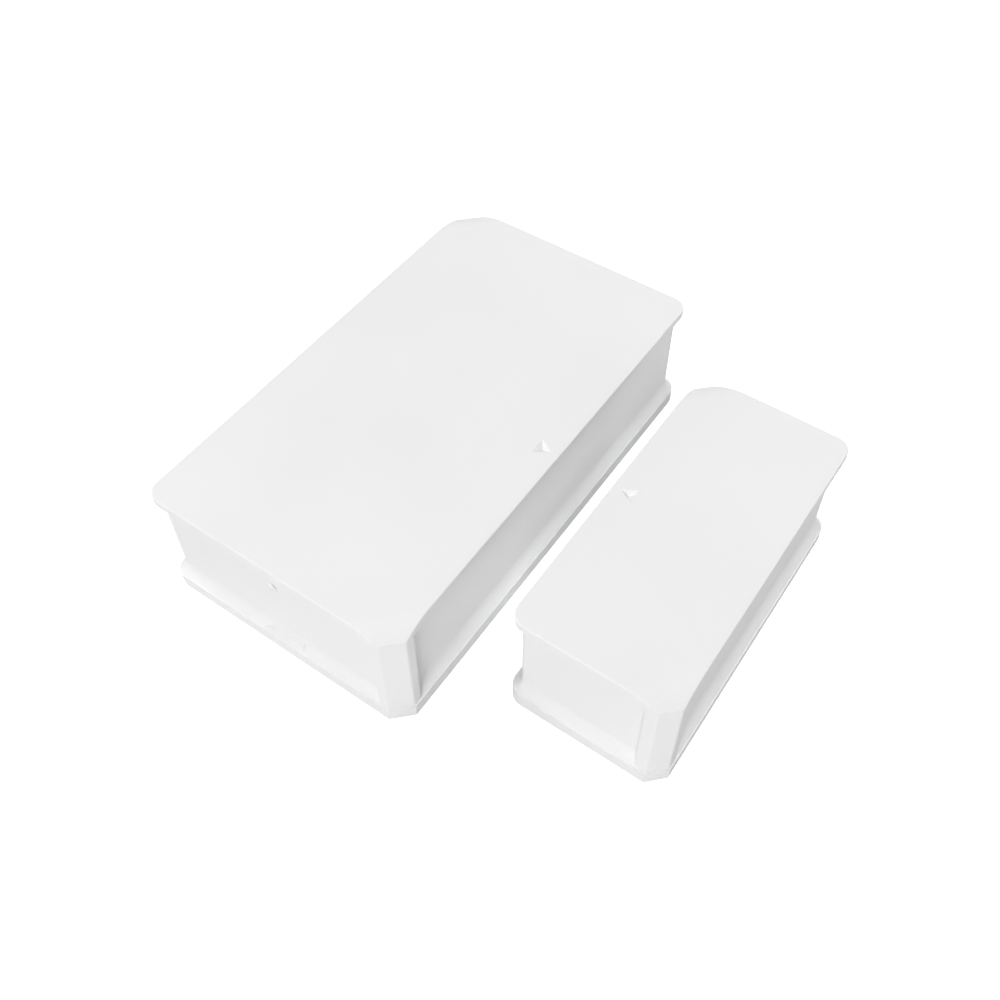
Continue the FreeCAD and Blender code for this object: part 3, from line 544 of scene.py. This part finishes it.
# tracks as lines of (x, y) in millimetres; each bus is a row of them, stepped so that they stay apart
NEAR_BUS = [[(x, -19.6), (x, -17.4 + 0.35 * i), (x + 2.6, -14.8 + 0.35 * i), (x + 2.6, -9.8)]
            for i, x in enumerate((-7.6, -6.5, -5.4, -4.3, -3.2))]
FAR_BUS = [[(x, 20.2), (x, 18.6 - 0.3 * i), (x + 1.8, 16.8 - 0.3 * i)]
           for i, x in enumerate((-9.4, -8.3, -7.2, -6.1))]
CELL_LINES = [
    [(1.0, clip_high.y + 0.3), (1.0, 17.6), (6.4, 17.6), (9.9, 14.1), (9.9, -9.6), (7.6, -11.9),
     (7.6, -14.0)],
    [(0.0, HOLDER_Y), (-3.4, HOLDER_Y - 3.4), (-3.4, -6.0)],
    [(3.4, -16.2), (5.4, -16.2), (6.9, -17.7), (6.9, -19.2)],
    [(3.4, -12.2), (4.9, -10.7), (4.9, -9.4)],
]
EDGE_LINE = [(-10.7, -20.7), (10.7, -20.7), (10.7, 20.7), (-10.7, 20.7)]
TRACK_WIDTH, EDGE_WIDTH = 0.32, 0.5
VIA_RING = (0.14, 0.34)             # every ring is (inner radius, outer radius)
TEST_PADS = [(3.4 + 1.7 * i, y) for y in (-16.2, -12.2) for i in range(3)]
PAD_DOME = [(0.56, 0), (0.56, FILM), (0.5, 1.8 * FILM), (0.2, 2.0 * FILM)]

PRINTED = ("radio_module_board", "crystal", "pairing_switch_cover", "reed_switch_glass", "status_led")
PRINT_GAP, PRINT_WIDTH = 0.3, 0.12
CELL_ARC_GAP, CELL_ARC_WIDTH = 0.35, 0.15
CELL_ARC_STEP, CELL_ARC_STEPS = 4, 13       # degrees, and how many to each side of the middle
PAD_PRINT_RING = (0.72, 0.8)
TYPE_FIELD = [(-8.2, -20.3), (-2.6, -20.3), (-2.6, -18.9), (-8.2, -18.9)]
TYPE_FIELD_WIDTH = 0.1

# solder, as (toe, height) of a fillet or (face, up, radius, height, radius at the wire) of a cone
REED_CONES = ((ON_TOP, 1, 0.8, 0.45, 0.27), (BELOW, -1, 0.75, 0.4, 0.25))
CLIP_JOINT = (0.75, 0.7)
CLIP_JOINT_HALF = 1.5
LEAF_JOINT = (0.55, 0.2)
TAB_JOINTS = {"status_led": (0.35, 0.3), "pairing_switch_cover": (0.6, 0.9), "crystal": (0.3, 0.35)}
TAB_INSET = 0.15                    # part of the side left bare at each end

CHIPS = {"chip_capacitors": (5, 0.8), "chip_resistors": (6, 0.5)}       # (how many, depth of each)
CHIP_CAP = 0.2                      # part of the chip's length
CHIP_CLIMB = 0.6                    # part of its height
CHIP_SKIN = 0.025
CHIP_ROUNDING = 0.04
CHIP_TOE = 0.3

EDGE_PADS, EDGE_PITCH, EDGE_PAD_WIDTH = 12, 1.27, 0.75
EDGE_SKIN, EDGE_REACH = 0.04, 0.8           # the plating's thickness, and its reach over the top
EDGE_FILLET = [(0.55, 0), (0.32, 0.14), (0.12, 0.42)]       # solder as (out, up), from the toe

CAN_DIMPLES = 5
DIMPLE_UP = 0.7                     # height of its middle above the can's foot
DIMPLE_LENGTH, DIMPLE_HEIGHT, DIMPLE_RISE = 1.0, 0.4, 0.06
DIMPLE_LEAN = 0.15                  # how far its crest is shifted along the can
CAN_MARK_RING, CAN_MARK_INSET = (0.3, 0.42), 1.1

PIN_OFFSETS = {"sensor": (9.3, 18.5), "magnet": (2.6, 11.6)}        # from each plate's middle
GATE_OFFSET = 0.9                   # the gate's, as a part of the pins' offset along the plate
PIN_RING, GATE_RING = (0.95, 1.1), (1.25, 1.35)
MARK_RISE = 0.03

FOAM_ROUNDING = 0.18
FOAM_WEAR = ((1.9, 0.035), (5.3, 0.02))     # (grain per millimetre, depth)
FOAM_FACE_WEAR = 0.4                # on its two flat faces, as a part of the wear on its sides
FOAM_BULGE, FOAM_PINCH = 0.1, 0.06


def add_tracks():
    """Copper under the solder mask, the same lines on both faces, and a ground line round the edge."""
    for name, z, rise in (("board_tracks_below", BELOW, -FILM), ("board_tracks_above", ON_TOP, FILM)):
        bm = bmesh.new()
        for line in NEAR_BUS + FAR_BUS + CELL_LINES:
            ribbon(bm, line, TRACK_WIDTH, z, rise)
        ribbon(bm, EDGE_LINE, EDGE_WIDTH, z, rise, closed=True)
        finish_piece(name, bm, "sensor_cover", "board_laminate", masked_copper)


def add_vias():
    """Plated holes where the tracks end, and bare pads for testing."""
    bm = bmesh.new()
    ends = [line[i] for line in NEAR_BUS + FAR_BUS for i in (0, -1)]
    for x, y in ends + [CELL_LINES[0][-1], CELL_LINES[2][-1], CELL_LINES[3][-1]]:
        for z, up in ((BELOW, -1), (ON_TOP, 1)):
            lathe(bm, (x, y, z), up, ring_outline(*VIA_RING, 1.6 * FILM), steps=18)
    for x, y in TEST_PADS:
        lathe(bm, (x, y, BELOW), -1, PAD_DOME)
    finish_piece("board_vias_and_pads", bm, "sensor_cover", "gold_plate")


def frame_round(low, high, gap):
    """Corners of a rectangle that stands off a box by the gap."""
    x0, y0, x1, y1 = low.x - gap, low.y - gap, high.x + gap, high.y + gap
    return [(x0, y0), (x1, y0), (x1, y1), (x0, y1)]


def add_print():
    """Printed outlines of the parts, with no lettering."""
    bm = bmesh.new()
    for name in PRINTED:
        low, high = size_of(name)
        ribbon(bm, frame_round(low, high, PRINT_GAP), PRINT_WIDTH, ON_TOP, INK, closed=True)
    radius = holder_high.x + CELL_ARC_GAP
    for middle in (math.pi / 2, -math.pi / 2):
        steps = range(-CELL_ARC_STEPS, CELL_ARC_STEPS + 1)
        turns = [middle + math.radians(CELL_ARC_STEP * i) for i in steps]
        arc = [(radius * math.cos(t), HOLDER_Y + radius * math.sin(t)) for t in turns]
        ribbon(bm, arc, CELL_ARC_WIDTH, BELOW, -INK)
    for x, y in TEST_PADS:
        lathe(bm, (x, y, BELOW), -1, ring_outline(*PAD_PRINT_RING, INK))
    ribbon(bm, TYPE_FIELD, TYPE_FIELD_WIDTH, BELOW, -INK, closed=True)
    finish_piece("board_print", bm, "sensor_cover", "shell_plastic", white_ink)


def add_solder():
    """Cones at the reed switch's wires, and fillets at the cell's contacts and the other parts' tabs."""
    bm = bmesh.new()
    for x, y in REED_ENDS:
        for face, up, *size in REED_CONES:
            solder_cone(bm, (x, y, face), up, *size)
    half = min(clip_high.x, CLIP_JOINT_HALF)
    for y, out in ((clip_high.y, 1), (clip_high.y - CLIP_THICK, -1)):
        solder_wedge(bm, (-half, y, BELOW), (0, out, 0), (2 * half, 0, 0), *CLIP_JOINT, up=-1)
    width = leaf_high.x - leaf_low.x
    for y in (leaf_low.y, leaf_high.y):
        out = 1 if y > HOLDER_Y else -1
        solder_wedge(bm, (leaf_low.x, y, BELOW), (0, out, 0), (width, 0, 0), *LEAF_JOINT, up=-1)
    for name, joint in TAB_JOINTS.items():
        low, high = size_of(name)
        inset = TAB_INSET * (high.y - low.y)
        along = (0, high.y - low.y - 2 * inset, 0)
        for x, out in ((low.x, -1), (high.x, 1)):
            solder_wedge(bm, (x, low.y + inset, ON_TOP), (out, 0, 0), along, *joint)
    finish_piece("solder_joints", bm, "sensor_cover", "tinned_steel")


def add_chip_ends():
    """Metal end caps of the chips with the solder that climbs them."""
    bm = bmesh.new()
    for name, (count, depth) in CHIPS.items():
        low, high = size_of(name)
        pitch = (high.y - low.y - depth) / (count - 1)
        cap = CHIP_CAP * (high.x - low.x)
        climb = CHIP_CLIMB * (high.z - low.z)
        for i in range(count):
            y0 = low.y + i * pitch
            for x, out in ((low.x, -1), (high.x, 1)):
                inner, outer = sorted((x - out * cap, x + out * CHIP_SKIN))
                corner = (outer, y0 + depth + CHIP_SKIN, high.z + CHIP_SKIN)
                rounded_block(bm, (inner, y0 - CHIP_SKIN, low.z), corner, CHIP_ROUNDING)
                solder_wedge(bm, (x, y0, low.z), (out, 0, 0), (0, depth, 0), CHIP_TOE, climb)
    finish_piece("chip_end_caps", bm, "sensor_cover", "tinned_steel")


def add_castellations():
    """Plated half-holes down the radio module's long edges, soldered to the board."""
    low, high = size_of("radio_module_board")
    bm = bmesh.new()
    top = high.z - low.z
    crown = top + EDGE_SKIN
    outline = [(EDGE_SKIN, 0), *EDGE_FILLET, (EDGE_SKIN, crown), (-EDGE_REACH, crown),
               (-EDGE_REACH, top), (0, top), (0, 0)]
    start = (low.y + high.y) / 2 - (EDGE_PADS - 1) * EDGE_PITCH / 2
    for x, out in ((low.x, -1), (high.x, 1)):
        for i in range(EDGE_PADS):
            y = start + i * EDGE_PITCH - EDGE_PAD_WIDTH / 2
            prism(bm, [(x + out * o, y, low.z + h) for o, h in outline], (0, EDGE_PAD_WIDTH, 0))
    finish_piece("module_edge_joints", bm, "sensor_cover", "tinned_steel")


def add_can_details():
    """Pressed dimples along the shield can's sides and a locating mark on its lid."""
    low, high = size_of("radio_shield_can")
    bm = bmesh.new()
    z = low.z + DIMPLE_UP
    half = DIMPLE_HEIGHT / 2
    for i in range(CAN_DIMPLES):
        y = low.y + (i + 0.5) * (high.y - low.y) / CAN_DIMPLES - DIMPLE_LENGTH / 2
        for x, out in ((low.x, -1), (high.x, 1)):
            crest = (x + out * DIMPLE_RISE, y + DIMPLE_LEAN, z)
            prism(bm, [(x, y, z - half), crest, (x, y, z + half)], (0, DIMPLE_LENGTH, 0))
    mark_at = (low.x + CAN_MARK_INSET, high.y - CAN_MARK_INSET, high.z)
    lathe(bm, mark_at, 1, ring_outline(*CAN_MARK_RING, MARK_RISE))
    finish_piece("shield_can_dimples", bm, "sensor_cover", "tinned_steel")


def add_ejector_marks():
    """Faint rings that ejector pins and the gate leave on the floors of the two base plates."""
    seam_z = size_of("sensor_top_shell")[0].z       # the shells stand on the plates' floors
    for case, (off_x, off_y) in PIN_OFFSETS.items():
        low, high = size_of(case + "_base_plate")
        middle = (low + high) / 2
        bm = bmesh.new()
        for sx in (1, -1):
            for sy in (1, -1):
                at = (middle.x + sx * off_x, middle.y + sy * off_y, seam_z)
                lathe(bm, at, 1, ring_outline(*PIN_RING, MARK_RISE), steps=36)
        at = (middle.x, middle.y - off_y * GATE_OFFSET, seam_z)
        lathe(bm, at, 1, ring_outline(*GATE_RING, MARK_RISE), steps=36)
        finish_piece(case + "_base_ejector_marks", bm, case + "_base", "shell_plastic")


def add_foam():
    """The foam block under the bar, pinched between it and the base plate's pillars."""
    low, high = size_of("magnet_foam_pad")
    bm = bmesh.new()
    rounded_block(bm, low, high, FOAM_ROUNDING)
    bmesh.ops.subdivide_edges(bm, edges=bm.edges, cuts=7, use_grid_fill=True)
    middle = (low + high) / 2
    half = (high - low) / 2
    for vert in bm.verts:
        across = (vert.co.x - middle.x) / half.x
        up = (vert.co.z - middle.z) / half.z
        worn = sum(noise.noise(vert.co * grain) * depth for grain, depth in FOAM_WEAR)
        bulge = FOAM_BULGE * (1 - up * up) * across - FOAM_PINCH * across
        vert.co.x += bulge - abs(worn) * across
        vert.co.z -= worn * FOAM_FACE_WEAR * up
    piece = finish_piece("magnet_foam_block", bm, "magnet_cover", "foam")
    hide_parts("magnet_foam_pad")


add_tracks()
add_vias()
add_print()
add_solder()
add_chip_ends()
add_castellations()
add_can_details()
add_ejector_marks()
add_foam()


# ---- floor and sky ---------------------------------------------------------------------------------
def add_floor():
    """Pale to the light that falls on it, and plain white to the camera, as a clean studio sweep."""
    mesh = bpy.data.meshes.new("floor")
    corners = [(x * FLOOR_REACH, y * FLOOR_REACH, FLOOR_Z * MM)
               for x, y in ((-1, -1), (1, -1), (1, 1), (-1, 1))]
    mesh.from_pydata(corners, [], [(0, 1, 2, 3)])
    floor = bpy.data.objects.new("floor", mesh)
    scene.collection.objects.link(floor)
    look = Look("pale_floor", base_color=(FLOOR_TONE, FLOOR_TONE, FLOOR_TONE, 1.0), roughness=0.9,
                specular_ior_level=0.0, emission_color=(1, 1, 1, 1))
    seen = look.add("ShaderNodeLightPath").outputs["Is Camera Ray"]
    look.join(seen, look.surface.inputs["Emission Strength"])
    mesh.materials.append(look.material)


def add_sky():
    """White to the camera, faint to glossy rays, and no light on anything else."""
    world = bpy.data.worlds.new("studio")
    world.use_nodes = True
    tree = world.node_tree
    background = tree.nodes["Background"]
    background.inputs["Color"].default_value = (1, 1, 1, 1)
    path = tree.nodes.new("ShaderNodeLightPath")
    strength = tree.nodes.new("ShaderNodeMath")
    strength.operation = "MULTIPLY_ADD"
    tree.links.new(path.outputs["Is Glossy Ray"], strength.inputs[0])
    strength.inputs[1].default_value = SKY_IN_REFLECTIONS
    tree.links.new(path.outputs["Is Camera Ray"], strength.inputs[2])
    tree.links.new(strength.outputs["Value"], background.inputs["Strength"])
    return world


add_floor()
scene.world = add_sky()
scene.view_settings.view_transform = "Standard"

add_camera()
for name, (azimuth, elevation, power) in RIG_BOXES.items():
    add_softbox(name, on_rig(azimuth, elevation), RIG_BOX_SIZE, power)
for name, settings in NEAR_BOXES.items():
    add_softbox(name, *settings)
